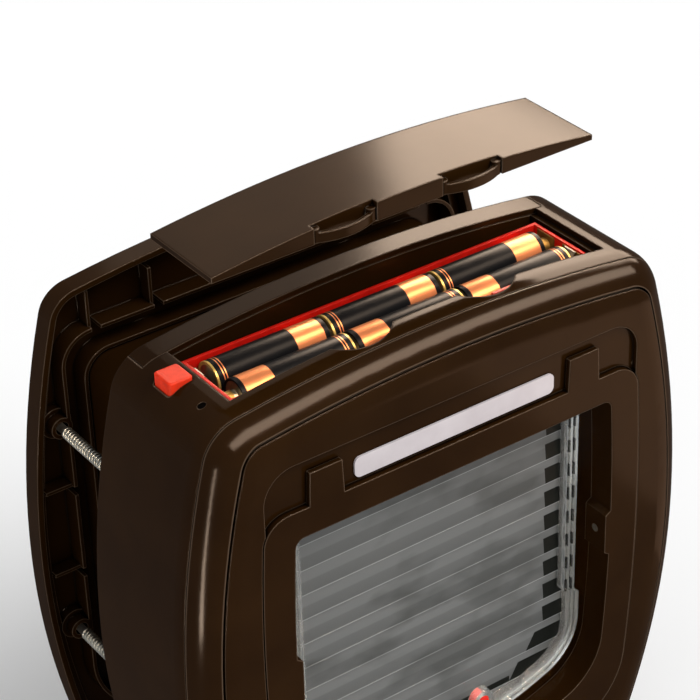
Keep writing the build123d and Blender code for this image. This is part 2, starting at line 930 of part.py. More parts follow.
with BuildPart() as contact_plates:
    for side, plus_y, minus_y in end_places:
        for row_y in (plus_y, minus_y):
            with BuildSketch(Plane.YZ.offset(side * trough_half)):
                with Locations((row_y, cell_level)):
                    Rectangle(2 * contact_half, 2 * contact_half)
            extrude(amount=-side * contact_thick)
        with BuildSketch(Plane.YZ.offset(side * (trough_half - contact_thick))):
            with Locations((plus_y, cell_level)):
                Circle(nub_radius + 0.4)
        extrude(amount=-side * reach)
save(contact_plates.part, "contact_plates")

with BuildPart() as contact_springs:
    for side, plus_y, minus_y in end_places:
        root_x = side * (trough_half - contact_thick)
        tip_x = side * row_half
        with BuildSketch(Plane.XZ.offset(-minus_y - leaf_half)):
            with BuildLine() as leaf_line:
                Polyline(
                    (root_x, cell_level + contact_half),
                    (root_x - side * leaf_thick, cell_level + contact_half),
                    (tip_x, cell_level),
                    (root_x - side * leaf_thick, cell_level - contact_half),
                    (root_x, cell_level - contact_half),
                    (tip_x + side * 1.3 * leaf_thick, cell_level),
                    close=True,
                )
            make_face()
        extrude(amount=2 * leaf_half)
save(contact_springs.part, "contact_springs")

# Battery lid, lifted off its seat along its way out
with BuildPart() as battery_lid:
    lid_half = well_half - lid_gap
    lid_back = well_back - lid_back_gap
    lid_front = well_front + lid_gap
    with BuildSketch(at_y(lid_back)):
        crown_slab(-lid_half, lid_half, well_floor, crown_radius, crown_radius - lid_thick)
    extrude(amount=lid_back - lid_front)
    # Front skirt: straight lower edge under the arched plate
    with BuildSketch(at_y(lid_front + skirt_thick)):
        with Locations((0, (skirt_level + top_level) / 2)):
            Rectangle(2 * lid_half, top_level - skirt_level)
        with Locations((0, top_level - crown_radius)):
            Circle(crown_radius - lid_thick / 2, mode=Mode.INTERSECT)
    extrude(amount=skirt_thick)
    # Box behind each gap keeps the well closed
    box_depth = tongue_gap + skirt_thick
    box_level = (skirt_level + top_level) / 2
    with BuildSketch(at_y(lid_front + box_depth)):
        with Locations((notch_x, box_level), (-notch_x, box_level)):
            Rectangle(2 * (tongue_half + skirt_thick), top_level - skirt_level)
        with Locations((0, top_level - crown_radius)):
            Circle(crown_radius - lid_thick / 2, mode=Mode.INTERSECT)
    extrude(amount=box_depth)
    # Gaps in the front edge for two sprung tongues
    with BuildSketch(Plane.XY.offset(skirt_level - 1)):
        with Locations((notch_x, lid_front), (-notch_x, lid_front)):
            Rectangle(2 * tongue_half, 2 * tongue_gap)
    extrude(amount=top_level - skirt_level + 2, mode=Mode.SUBTRACT)
    # Bowed tongues, each hung from a knob at both ends
    for side in (1, -1):
        bow_y = lid_front - tongue_reach + tongue_radius
        with BuildSketch(Plane.XY.offset(skirt_level)):
            with Locations((side * notch_x, bow_y)):
                Circle(tongue_radius)
                Circle(tongue_radius - tongue_thick, mode=Mode.SUBTRACT)
            with Locations((side * notch_x, lid_front + knob_back - tongue_radius)):
                Rectangle(2 * tongue_half, 2 * tongue_radius, mode=Mode.INTERSECT)
        extrude(amount=tongue_high)
        knob_top = crown_z(notch_x + tongue_half) - lid_thick / 2
        knob_x = tongue_half - knob_set
        with BuildSketch(Plane.XY.offset(skirt_level)):
            with Locations(
                (side * notch_x - knob_x, lid_front + knob_back),
                (side * notch_x + knob_x, lid_front + knob_back),
            ):
                Circle(knob_radius)
        extrude(amount=knob_top - skirt_level)
save(battery_lid.part.moved(Location((0, lid_drift, lid_rise))), "battery_lid")

# Red push button with its foot, the switch under it, the board and the lamp pipe
switch_top = board_level + board_thick + switch_high + plunger_high
button_foot = guide_level - 0.15
with BuildPart() as learn_button:
    with BuildSketch(Plane.XY.offset(button_foot)):
        with Locations((button_x, button_y)):
            RectangleRounded(button_across, button_along, 1.4)
    extrude(amount=button_top - button_foot)
    chamfer(learn_button.faces().sort_by(Axis.Z)[-1].edges(), button_edge)
    with BuildSketch(Plane.XY.offset(button_foot)):
        with Locations((button_x + foot_shift, button_y)):
            Rectangle(button_across - foot_inset, button_along + 2 * guide_margin - 1)
    extrude(amount=-foot_thick)
    with BuildSketch(Plane.XY.offset(button_foot - foot_thick)):
        with Locations((button_x, button_y)):
            Circle(plunger_radius + 0.3)
    extrude(amount=-(button_foot - foot_thick - switch_top - button_travel - 0.3))
save(learn_button.part, "learn_button")

with BuildPart() as circuit_board:
    board_right = -well_half - well_wall - 0.4
    with BuildSketch(Plane.XY.offset(board_level)):
        with Locations(((board_left + board_right) / 2, (board_back + board_front) / 2)):
            Rectangle(board_right - board_left, board_back - board_front)
    extrude(amount=board_thick)
save(circuit_board.part, "circuit_board")

with BuildPart() as tact_switch:
    with BuildSketch(Plane.XY.offset(board_level + board_thick)):
        with Locations((button_x, button_y)):
            Rectangle(2 * switch_half, 2 * switch_half)
    extrude(amount=switch_high)
    with BuildSketch(Plane.XY.offset(switch_top - plunger_high)):
        with Locations((button_x, button_y)):
            Circle(plunger_radius)
    extrude(amount=plunger_high)
save(tact_switch.part, "tact_switch")

with BuildPart() as lamp_pipe:
    with BuildSketch(Plane.XY.offset(board_level + board_thick)):
        with Locations((pipe_x, pipe_y)):
            Circle(pipe_radius)
    extrude(amount=crown_z(pipe_x) - 0.5 - board_level - board_thick)
save(lamp_pipe.part, "lamp_pipe")

# Aerial winding round the tunnel sleeve
with BuildPart() as aerial_coil:
    with BuildSketch(at_y(coil_back)):
        sleeve_outline(sleeve_wall + coil_inner + coil_thick)
        sleeve_outline(sleeve_wall + coil_inner, Mode.SUBTRACT)
    extrude(amount=coil_wide)
save(aerial_coil.part, "aerial_coil")

# Clear flap: prismatic sheet in a ridged rim, hung from a barrel
with BuildPart() as sheet:
    saw_low = axle_level - prism_pitch * prism_count
    with BuildSketch(Plane.YZ.offset(-flap_low_half)):
        with BuildLine():
            teeth = [(axle_y + sheet_back, axle_level), (axle_y + sheet_back, saw_low)]
            for tooth in range(prism_count):
                foot = saw_low + tooth * prism_pitch
                teeth.append((axle_y - sheet_front - prism_rise, foot))
                teeth.append((axle_y - sheet_front, foot + prism_pitch))
            Polyline(*teeth, close=True)
        make_face()
    extrude(amount=2 * flap_low_half)
    with BuildSketch(at_y(axle_y + 10)):
        flap_outline(flap_rim - 0.5)
    extrude(amount=20, mode=Mode.INTERSECT)

with BuildPart() as flap:
    with BuildSketch(at_y(axle_y + rim_half_depth)):
        flap_outline()
        flap_outline(flap_rim, Mode.SUBTRACT)
    extrude(amount=2 * rim_half_depth)
    for ridge_in in ridge_insets:
        with BuildSketch(at_y(axle_y - rim_half_depth)):
            flap_outline(ridge_in)
            flap_outline(ridge_in + ridge_width, Mode.SUBTRACT)
        extrude(amount=-ridge_depth, mode=Mode.SUBTRACT)
    add(sheet.part)
    with BuildSketch(at_y(axle_y + rim_half_depth + boss_proud)):
        with Locations((boss_x, boss_level), (-boss_x, boss_level)):
            Circle(boss_radius)
    extrude(amount=2 * (rim_half_depth + boss_proud))
    with BuildSketch(Plane.YZ.offset(-flap_half)):
        with Locations((axle_y, axle_level)):
            Circle(barrel_radius)
    extrude(amount=2 * flap_half)
    with BuildSketch(Plane.YZ.offset(-flap_half - 1)):
        with Locations((axle_y, axle_level)):
            Circle(axle_radius + axle_play)
    extrude(amount=2 * flap_half + 2, mode=Mode.SUBTRACT)
    with BuildSketch(at_y(axle_y - rim_half_depth - boss_proud)):
        with Locations((boss_x, boss_level), (-boss_x, boss_level)):
            Circle(magnet_radius + screw_fit)
    extrude(amount=-2 * rim_half_depth, mode=Mode.SUBTRACT)
save(flap.part, "flap")

with BuildPart() as flap_magnets:
    with BuildSketch(at_y(axle_y - rim_half_depth - boss_proud + 0.3)):
        with Locations((boss_x, boss_level), (-boss_x, boss_level)):
            Circle(magnet_radius)
    extrude(amount=-2 * rim_half_depth + 0.3)
save(flap_magnets.part, "flap_magnets")

with BuildPart() as flap_axle:
    with BuildSketch(Plane.YZ.offset(-axle_half)):
        with Locations((axle_y, axle_level)):
            Circle(axle_radius)
    extrude(amount=2 * axle_half)
save(flap_axle.part, "flap_axle")

with BuildPart() as sill_magnets:
    with BuildSketch(Plane.XY.offset(sleeve_bottom - sleeve_wall - sill_magnet_z)):
        with Locations((boss_x, axle_y), (-boss_x, axle_y)):
            Rectangle(sill_magnet_x, sill_magnet_y)
    extrude(amount=sill_magnet_z)
save(sill_magnets.part, "sill_magnets")

# Latch: two prongs on a bar, raised by a coil box under the sill
with BuildPart() as latch_bar:
    with BuildSketch(Plane.XY.offset(bar_top - bar_high)):
        with Locations((0, latch_y)):
            Rectangle(2 * bar_half, 2 * prong_half)
    extrude(amount=bar_high)
    with BuildSketch(Plane.XY.offset(bar_top - 1)):
        with Locations((boss_x, latch_y), (-boss_x, latch_y)):
            Rectangle(2 * prong_half, 2 * prong_half)
    extrude(amount=prong_top - bar_top + 1)
    with BuildSketch(Plane.XY.offset(bar_top - bar_high)):
        with Locations((0, latch_y)):
            Circle(stem_radius)
    extrude(amount=-stem_length)
save(latch_bar.part, "latch_bar")

with BuildPart() as latch_coil:
    with BuildSketch(Plane.XY.offset(coil_box_base)):
        with Locations((0, latch_y)):
            Rectangle(2 * coil_box_half, 2 * coil_box_deep)
    extrude(amount=coil_box_top - coil_box_base)
    with BuildSketch(Plane.XY.offset(coil_box_top)):
        with Locations((0, latch_y)):
            Circle(stem_radius + stem_play)
    extrude(amount=-stem_length, mode=Mode.SUBTRACT)
save(latch_coil.part, "latch_coil")

# Outdoor frame: shallow dish with rim, stepped ledge, ribbed fence and tunnel mouth
with BuildPart() as outdoor_frame:
    with BuildSketch(at_y(frame_back)):
        frame_outline(0)
    extrude(amount=frame_back - frame_front)
    chamfer(outdoor_frame.faces().sort_by(Axis.Y)[-1].edges(), frame_edge)
    with BuildSketch(at_y(frame_front)):
        frame_outline(frame_wall)
    extrude(amount=-(step_front - frame_front), mode=Mode.SUBTRACT)
    with BuildSketch(at_y(step_front)):
        frame_outline(frame_wall + step_width)
    extrude(amount=-(frame_back - frame_base - step_front), mode=Mode.SUBTRACT)
    # Fence broken by slots, with ribs out to the ledge beside each slot
    base_y = frame_back - frame_base
    slot_x = [fence_half - inset for inset in slot_insets]
    slot_z = [fence_top - drop for drop in slot_drops]
    with BuildSketch(at_y(base_y)):
        fence_outline()
        fence_outline(fence_wall, Mode.SUBTRACT)
        with Locations(*both_sides([(x, fence_top) for x in slot_x])):
            Rectangle(slot_width, 8, mode=Mode.SUBTRACT)
        with Locations(*both_sides([(fence_half, z) for z in slot_z])):
            Rectangle(8, slot_width, mode=Mode.SUBTRACT)
    extrude(amount=base_y - fence_front)
    with BuildSketch(at_y(base_y)):
        for x in slot_x:
            with Locations(*both_sides([(x + slot_width / 2, fence_top + rib_top / 2 - rib_bite)])):
                Rectangle(rib_thick, rib_top)
        for z in slot_z:
            with Locations(*both_sides([(fence_half + rib_side / 2 - rib_bite, z + slot_width / 2)])):
                Rectangle(rib_side, rib_thick)
    extrude(amount=base_y - rib_front)
    # Bosses for the long screws
    with BuildSketch(at_y(base_y)):
        with Locations(*both_sides(screw_places)):
            Circle(frame_boss_back)
    extrude(amount=base_y - boss_step)
    with BuildSketch(at_y(base_y)):
        with Locations(*both_sides(screw_places)):
            Circle(frame_boss)
    extrude(amount=base_y - fence_front)
    # Mouth of the tunnel with its wall
    with BuildSketch(at_y(frame_back)):
        tunnel_outline()
    extrude(amount=frame_back - fence_front)
    with BuildSketch(at_y(frame_back + 1)):
        tunnel_outline(mouth_wall)
    extrude(amount=frame_back - frame_front + 2, mode=Mode.SUBTRACT)
    with BuildSketch(at_y(frame_back + 1)):
        with Locations(*both_sides(screw_places)):
            Circle(screw_radius + screw_clear)
    extrude(amount=frame_back - frame_front + 2, mode=Mode.SUBTRACT)
    with BuildSketch(at_y(frame_back + 1)):
        with Locations(*both_sides(screw_places)):
            Circle(screw_head + screw_clear)
    extrude(amount=1 + screw_head_high, mode=Mode.SUBTRACT)
save(outdoor_frame.part, "outdoor_frame")

# Long screws that pull the two halves together through the door
with BuildPart() as fixing_screws:
    with BuildSketch(at_y(frame_back)):
        with Locations(*both_sides(screw_places)):
            Circle(screw_head)
    extrude(amount=screw_head_high)
    with BuildSketch(at_y(frame_back - screw_head_high)):
        with Locations(*both_sides(screw_places)):
            Circle(screw_radius)
    extrude(amount=frame_back - screw_head_high + screw_bite)
save(fixing_screws.part, "fixing_screws")
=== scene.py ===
import math

import bpy
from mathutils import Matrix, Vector


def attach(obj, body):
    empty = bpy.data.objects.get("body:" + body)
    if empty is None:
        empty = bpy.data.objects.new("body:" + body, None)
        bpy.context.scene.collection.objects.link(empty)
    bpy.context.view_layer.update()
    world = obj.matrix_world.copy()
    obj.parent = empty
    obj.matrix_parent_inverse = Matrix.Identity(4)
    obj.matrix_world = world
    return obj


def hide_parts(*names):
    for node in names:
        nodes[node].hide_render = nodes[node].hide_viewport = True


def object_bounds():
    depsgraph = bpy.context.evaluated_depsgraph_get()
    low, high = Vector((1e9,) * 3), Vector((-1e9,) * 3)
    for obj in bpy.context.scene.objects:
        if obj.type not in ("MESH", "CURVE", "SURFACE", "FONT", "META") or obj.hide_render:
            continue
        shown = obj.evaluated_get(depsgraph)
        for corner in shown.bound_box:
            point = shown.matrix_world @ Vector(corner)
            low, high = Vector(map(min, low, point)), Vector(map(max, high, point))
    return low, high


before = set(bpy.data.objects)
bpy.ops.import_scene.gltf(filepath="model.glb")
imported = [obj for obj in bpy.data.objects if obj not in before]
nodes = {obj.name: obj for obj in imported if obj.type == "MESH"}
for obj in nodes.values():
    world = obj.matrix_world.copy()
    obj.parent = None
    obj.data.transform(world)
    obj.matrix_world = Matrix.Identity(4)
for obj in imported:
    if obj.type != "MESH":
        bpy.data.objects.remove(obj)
cad_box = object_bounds()


# Outdoor frame: a shallow dish in glossy dark brown plastic, moulded in one piece
# with its stepped rim, slotted fence, ribs and tunnel mouth. The long screws pull it
# against the outer face of the door. The other brown mouldings share its finish.
def put(tree, kind, values=None, links=None):
    """Add one shader node, set its sockets and join it to earlier ones."""
    node = tree.nodes.new(kind)
    for socket, value in (values or {}).items():
        node.inputs[socket].default_value = value
    for socket, source in (links or {}).items():
        tree.links.new(source, node.inputs[socket])
    return node


def tint(tree, source, stops, sharp=False):
    """Colours along a 0 to 1 value."""
    node = put(tree, "ShaderNodeValToRGB", links={"Fac": source})
    ramp = node.color_ramp
    ramp.interpolation = "CONSTANT" if sharp else "LINEAR"
    while len(ramp.elements) < len(stops):
        ramp.elements.new(1.0)
    for element, (position, colour) in zip(ramp.elements, stops):
        element.position = position
        element.color = (*colour, 1)
    return node.outputs["Color"]


def new_finish(name):
    """Fresh material with its shader and object coordinates."""
    material = bpy.data.materials.new(name)
    material.use_nodes = True
    tree = material.node_tree
    place = put(tree, "ShaderNodeTexCoord").outputs["Object"]
    return material, tree, tree.nodes["Principled BSDF"], place


def noise(tree, place, scale, detail):
    """Fractal noise on the piece."""
    node = put(tree, "ShaderNodeTexNoise", {"Scale": scale, "Detail": detail}, {"Vector": place})
    return node.outputs["Fac"]


def spread(tree, source, low, high):
    """Stretch a 0 to 1 value between two limits."""
    node = put(tree, "ShaderNodeMapRange", {"To Min": low, "To Max": high}, {"Value": source})
    return node.outputs["Result"]


def blend(tree, kind, under, over, share=1.0):
    """Lay one colour over another; share is a number or an earlier value."""
    node = put(tree, "ShaderNodeMix")
    node.data_type = "RGBA"
    node.blend_type = kind
    for socket, value in (("Factor", share), ("A", under), ("B", over)):
        if isinstance(value, (float, tuple)):
            node.inputs[socket].default_value = value
        else:
            tree.links.new(value, node.inputs[socket])
    return node.outputs["Result"]


def brown_moulding(name, gloss):
    """Glossy brown plastic: flow marks, painted crease shade, painted arris highlights, orange
    peel.
    """
    material, tree, shader, place = new_finish(name)
    shader.inputs["Specular IOR Level"].default_value = 0.0
    shader.inputs["Coat Weight"].default_value = 0.062
    shader.inputs["Coat Roughness"].default_value = gloss
    flow = noise(tree, place, 32, 4)
    deep = (0.0165, 0.0061, 0.0011)
    warm = (0.0235, 0.0094, 0.0021)
    brown = tint(tree, flow, [(0.3, deep), (0.72, warm)])
    # Painted shade: ambient occlusion darkens the brown in creases, recesses and gaps between
    # parts.
    crease_shade = put(tree, "ShaderNodeAmbientOcclusion", {"Distance": 0.002})
    crease_shade.samples = 8
    depth = tint(tree, crease_shade.outputs["AO"], [(0.4, (0.1, 0.1, 0.1)), (0.85, (1, 1, 1))])
    shaded = blend(tree, "MULTIPLY", brown, depth)
    # Painted highlight: inside occlusion finds the convex arrises, and a lighter brown is added
    # there.
    arris = put(tree, "ShaderNodeAmbientOcclusion", {"Distance": 0.0006})
    arris.samples = 8
    arris.inside = True
    arris.only_local = True
    painted_arris_highlight = tint(tree, arris.outputs["AO"], [(0.5, (0.1, 0.07, 0.048)), (0.82, (0, 0, 0))])
    tree.links.new(blend(tree, "ADD", shaded, painted_arris_highlight), shader.inputs["Base Color"])
    peel = noise(tree, place, 1100, 2)
    edge = put(tree, "ShaderNodeBevel", {"Radius": 0.0011})
    edge.samples = 6
    bump = put(
        tree,
        "ShaderNodeBump",
        {"Strength": 0.03, "Distance": 0.0003},
        {"Height": peel, "Normal": edge.outputs["Normal"]},
    )
    tree.links.new(bump.outputs["Normal"], shader.inputs["Normal"])
    tree.links.new(bump.outputs["Normal"], shader.inputs["Coat Normal"])
    return material


def dress(material, *names):
    """Give frame pieces their finish."""
    for name in names:
        nodes[name].data.materials.clear()
        nodes[name].data.materials.append(material)


glossy_brown = brown_moulding("glossy_brown", 0.14)
dress(glossy_brown, "outdoor_frame")


# Long fixing screws: four zinc plated steel screws, turned with a plain shank under
# the head and a coarse rolled thread towards the indoor unit. A cross recess is struck
# in each head. They cross the door gap and bite in the bosses of the door plate.
def zinc_plate(name, colour, rough):
    """Plated steel: fine drawing marks and clouded gloss."""
    material, tree, shader, place = new_finish(name)
    shader.inputs["Metallic"].default_value = 1.0
    cloud = noise(tree, place, 420, 5)
    dark = [0.7 * c for c in colour]
    tree.links.new(tint(tree, cloud, [(0.3, dark), (0.7, colour)]), shader.inputs["Base Color"])
    tree.links.new(spread(tree, cloud, rough - 0.08, rough + 0.12), shader.inputs["Roughness"])
    bump = put(tree, "ShaderNodeBump", {"Strength": 0.08, "Distance": 0.0001}, {"Height": cloud})
    tree.links.new(bump.outputs["Normal"], shader.inputs["Normal"])
    return material


def bake_place(piece):
    """Put the piece's place and turn in its mesh."""
    bpy.ops.object.select_all(action="DESELECT")
    piece.select_set(True)
    bpy.context.view_layer.objects.active = piece
    bpy.ops.object.transform_apply(location=True, rotation=True, scale=True)


def soften(piece, width, segments, angle):
    """Round the sharp edges and shade the rest smooth."""
    bpy.context.view_layer.objects.active = piece
    bevel = piece.modifiers.new("round", "BEVEL")
    bevel.width = width
    bevel.segments = segments
    bevel.limit_method = "ANGLE"
    bevel.angle_limit = math.radians(angle)
    bpy.ops.object.modifier_apply(modifier="round")
    bpy.ops.object.select_all(action="DESELECT")
    piece.select_set(True)
    bpy.ops.object.shade_smooth_by_angle(angle=math.radians(35))


def join(name, pieces):
    """Join pieces to one object."""
    bpy.ops.object.select_all(action="DESELECT")
    for piece in pieces:
        piece.select_set(True)
    bpy.context.view_layer.objects.active = pieces[0]
    bpy.ops.object.join()
    pieces[0].name = name
    return pieces[0]


def turned_screw(head, head_high, back, core, crest, thread_from, tip, pitch):
    """One screw along Y: pan head with a cross recess, plain shank, wound thread."""
    lying = (math.radians(90), 0, 0)
    neck = back - head_high
    bpy.ops.mesh.primitive_cylinder_add(
        vertices=40,
        radius=head,
        depth=head_high,
        location=(0, back - head_high / 2, 0),
        rotation=lying,
    )
    cap = bpy.context.object
    bake_place(cap)
    soften(cap, 0.25 * head_high, 3, 40)
    for turn in (0, 90):
        bpy.ops.mesh.primitive_cube_add(size=1, location=(0, back, 0))
        blade = bpy.context.object
        blade.scale = (1.25 * head, 0.9 * head_high, 0.24 * head)
        blade.rotation_euler = (0, math.radians(turn), 0)
        bake_place(blade)
        cut = cap.modifiers.new("recess", "BOOLEAN")
        cut.operation = "DIFFERENCE"
        cut.object = blade
        bpy.context.view_layer.objects.active = cap
        bpy.ops.object.modifier_apply(modifier="recess")
        bpy.data.objects.remove(blade)
    bpy.ops.mesh.primitive_cylinder_add(
        vertices=28,
        radius=core,
        depth=neck - tip,
        location=(0, (neck + tip) / 2, 0),
        rotation=lying,
    )
    shank = bpy.context.object
    bake_place(shank)
    soften(shank, 0.3 * core, 2, 40)
    bpy.ops.mesh.primitive_circle_add(
        vertices=3,
        radius=0.315 * pitch,
        location=(crest - 0.315 * pitch, tip + 0.6 * pitch, 0),
        rotation=(0, 0, math.radians(-90)),
    )
    ridge = bpy.context.object
    bake_place(ridge)
    wind = ridge.modifiers.new("wind", "SCREW")
    wind.axis = "Y"
    wind.screw_offset = pitch
    wind.iterations = int((thread_from - tip) / pitch) - 1
    wind.steps = 20
    wind.render_steps = 20
    bpy.context.view_layer.objects.active = ridge
    bpy.ops.object.modifier_apply(modifier="wind")
    bpy.ops.object.mode_set(mode="EDIT")
    bpy.ops.mesh.select_all(action="SELECT")
    bpy.ops.mesh.fill_holes(sides=0)
    bpy.ops.mesh.normals_make_consistent(inside=False)
    bpy.ops.object.mode_set(mode="OBJECT")
    return join("screw", [cap, shank, ridge])


def set_out(name, model, places, material):
    """Copy a screw to its places, each copy with its own mesh, and join them."""
    copies = []
    for x, z in places:
        copy = model.copy()
        copy.data = model.data.copy()
        bpy.context.collection.objects.link(copy)
        copy.location = (x, 0, z)
        bake_place(copy)
        copies.append(copy)
    bpy.data.objects.remove(model)
    piece = join(name, copies)
    piece.data.materials.clear()
    piece.data.materials.append(material)
    return piece


zinc = zinc_plate("zinc_plate", (0.3, 0.308, 0.288), 0.34)
long_screw = turned_screw(
    head=0.0045,
    head_high=0.003,
    back=0.0635,
    core=0.00175,
    crest=0.0025,
    thread_from=0.05,
    tip=-0.015,
    pitch=0.0018,
)
long_places = [(0.097, 0.056), (-0.097, 0.056), (0.098, -0.042), (-0.098, -0.042)]
screws = set_out("long_screws", long_screw, long_places, zinc)
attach(screws, "housing")
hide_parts("fixing_screws")


# Indoor unit: rear shell with the battery well, door plate with the tunnel, and the
# pillow-shaped front cover, three brown mouldings that meet in a fine seam. Four short
# screws through the door plate hold the cover's posts.
dress(glossy_brown, "rear_body", "door_plate", "front_cover")

short_screw = turned_screw(
    head=0.0029,
    head_high=0.0016,
    back=0.0,
    core=0.00115,
    crest=0.0015,
    thread_from=-0.0045,
    tip=-0.018,
    pitch=0.001,
)
short_places = [(0.0945, 0.084), (-0.0945, 0.084), (0.074, -0.108), (-0.074, -0.108)]
screws = set_out("short_screws", short_screw, short_places, zinc)
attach(screws, "housing")
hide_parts("case_screws")


# Battery tray and push button: bright red mouldings, the tray an open trough that drops
# in the well, the button a rounded key beside it. Both keep the fine grain of the mould.
def red_moulding(name, colour, gloss):
    """Bright opaque plastic with moulded grain."""
    material, tree, shader, place = new_finish(name)
    shader.inputs["Specular IOR Level"].default_value = 0.028
    cloud = noise(tree, place, 260, 5)
    dark = [0.78 * c for c in colour]
    tree.links.new(tint(tree, cloud, [(0.3, dark), (0.65, colour)]), shader.inputs["Base Color"])
    tree.links.new(spread(tree, cloud, gloss - 0.06, gloss + 0.08), shader.inputs["Roughness"])
    grain = noise(tree, place, 2600, 2)
    edge = put(tree, "ShaderNodeBevel", {"Radius": 0.0008})
    edge.samples = 4
    bump = put(
        tree,
        "ShaderNodeBump",
        {"Strength": 0.1, "Distance": 0.0002},
        {"Height": grain, "Normal": edge.outputs["Normal"]},
    )
    tree.links.new(bump.outputs["Normal"], shader.inputs["Normal"])
    return material


dress(red_moulding("tray_red", (0.78, 0.012, 0.006), 0.3), "battery_tray")
dress(red_moulding("button_red", (0.93, 0.045, 0.014), 0.42), "learn_button")


# Contacts of the tray: stamped brass pads at the plus ends and bent spring strips at the
# minus ends, pushed in slots of the tray's end walls.
brass = zinc_plate("brass_strip", (0.14, 0.085, 0.024), 0.52)
spring_strip = zinc_plate("spring_strip", (0.11, 0.105, 0.095), 0.52)
dress(brass, "contact_plates")
dress(spring_strip, "contact_springs")


# Round cells: drawn steel cans in a printed shrink sleeve of black and copper that rolls
# over both shoulders, with a raised nub at the plus end. Two rows of three lie in the tray.
cell_length = 0.0505
nub_high = 0.0012
can_radius = 0.0071
sleeve_mouth = 0.0058
cell_level = 0.109
rows = ((-0.024, 1), (-0.0391, -1))


def pick_faces(piece, test):
    """Select faces by their place or normal, for edit mode."""
    bpy.ops.object.select_all(action="DESELECT")
    piece.select_set(True)
    bpy.context.view_layer.objects.active = piece
    bpy.ops.object.mode_set(mode="EDIT")
    bpy.ops.mesh.select_mode(type="FACE")
    bpy.ops.mesh.select_all(action="DESELECT")
    bpy.ops.object.mode_set(mode="OBJECT")
    for face in piece.data.polygons:
        face.select = test(face)
    bpy.ops.object.mode_set(mode="EDIT")


def shrink_sleeve(name, flip):
    """Sleeve print along the row: it repeats with the length of a cell."""
    material, tree, shader, place = new_finish(name)
    values = {"Scale": (flip / cell_length, 1, 1), "Location": (1.5, 0, 0)}
    start = put(tree, "ShaderNodeMapping", values, {"Vector": place})
    axes = put(tree, "ShaderNodeSeparateXYZ", links={"Vector": start.outputs["Vector"]})
    repeat = put(tree, "ShaderNodeMath", links={0: axes.outputs["X"]})
    repeat.operation = "FRACT"
    share = repeat.outputs["Value"]
    black = (0.007, 0.007, 0.0075)
    copper = (0.57, 0.19, 0.07)
    gold = (0.42, 0.28, 0.08)
    print_stops = [
        (0.0, gold),
        (0.016, black),
        (0.055, copper),
        (0.064, black),
        (0.08, copper),
        (0.089, black),
        (0.69, copper),
        (0.93, black),
        (0.985, gold),
    ]
    tree.links.new(tint(tree, share, print_stops, True), shader.inputs["Base Color"])
    foil = [(p, (0.15, 0.15, 0.15) if c != black else (0, 0, 0)) for p, c in print_stops]
    tree.links.new(tint(tree, share, foil, True), shader.inputs["Metallic"])
    shader.inputs["Specular IOR Level"].default_value = 0.014
    wrinkle = noise(tree, place, 140, 3)
    tree.links.new(spread(tree, wrinkle, 0.27, 0.37), shader.inputs["Roughness"])
    bump = put(tree, "ShaderNodeBump", {"Strength": 0.03, "Distance": 0.0002}, {"Height": wrinkle})
    tree.links.new(bump.outputs["Normal"], shader.inputs["Normal"])
    return material


bpy.ops.mesh.primitive_cylinder_add(
    vertices=64,
    radius=can_radius,
    depth=cell_length - nub_high,
    location=(-nub_high / 2, 0, 0),
    rotation=(0, math.radians(90), 0),
)
can = bpy.context.object
bake_place(can)
end_sink = 0.0004
pick_faces(can, lambda face: face.normal.x > 0.9)
bpy.ops.mesh.inset(thickness=0.0011)
bpy.ops.transform.translate(value=(-end_sink, 0, 0))
bpy.ops.mesh.inset(thickness=0.00325)
bpy.ops.mesh.extrude_region_move(TRANSFORM_OT_translate={"value": (nub_high + end_sink, 0, 0)})
bpy.ops.object.mode_set(mode="OBJECT")
pick_faces(can, lambda face: face.normal.x < -0.9)
bpy.ops.mesh.inset(thickness=0.001)
bpy.ops.transform.translate(value=(end_sink, 0, 0))
bpy.ops.mesh.inset(thickness=0.0014)
bpy.ops.transform.translate(value=(-0.0003, 0, 0))
bpy.ops.object.mode_set(mode="OBJECT")
soften(can, 0.00035, 3, 30)
can_steel = zinc_plate("can_steel", (0.21, 0.185, 0.13), 0.34)
sleeves = {1: shrink_sleeve("sleeve_right", 1), -1: shrink_sleeve("sleeve_left", -1)}
number = 0
for row_y, way in rows:
    for step in (-1, 0, 1):
        number += 1
        cell = can.copy()
        cell.data = can.data.copy()
        bpy.context.collection.objects.link(cell)
        cell.name = "sleeved_cell_%d" % number
        cell.location = (step * cell_length, row_y, cell_level)
        cell.rotation_euler = (0, 0, 0 if way > 0 else math.radians(180))
        bake_place(cell)
        cell.data.materials.clear()
        cell.data.materials.append(sleeves[way])
        cell.data.materials.append(can_steel)
        for face in cell.data.polygons:
            spot = face.center
            if math.hypot(spot.y - row_y, spot.z - cell_level) < sleeve_mouth:
                face.material_index = 1
        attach(cell, "housing")
        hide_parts("cell_%d" % number)
bpy.data.objects.remove(can)


# Battery lid: arched brown plate with a front skirt and two sprung tongues, lifted off
# the well.
dress(glossy_brown, "battery_lid")


# Lamp pipe, board, switch and aerial: smoked light guide in the deck, and the green
# laminate, black switch and enamelled winding inside the unit.
def dull_plastic(name, colour, gloss, shine=0.3):
    """Plain technical plastic with a little clouding."""
    material, tree, shader, place = new_finish(name)
    shader.inputs["Specular IOR Level"].default_value = shine
    cloud = noise(tree, place, 500, 4)
    dark = [0.7 * c for c in colour]
    tree.links.new(tint(tree, cloud, [(0.3, dark), (0.7, colour)]), shader.inputs["Base Color"])
    tree.links.new(spread(tree, cloud, gloss - 0.05, gloss + 0.1), shader.inputs["Roughness"])
    return material


dress(dull_plastic("smoked_guide", (0.003, 0.0022, 0.0018), 0.5, 0.0), "lamp_pipe")
dress(dull_plastic("board_laminate", (0.02, 0.16, 0.06), 0.4), "circuit_board")
dress(dull_plastic("switch_black", (0.02, 0.02, 0.02), 0.45), "tact_switch")
dress(zinc_plate("enamelled_winding", (0.55, 0.22, 0.08), 0.35), "aerial_coil")


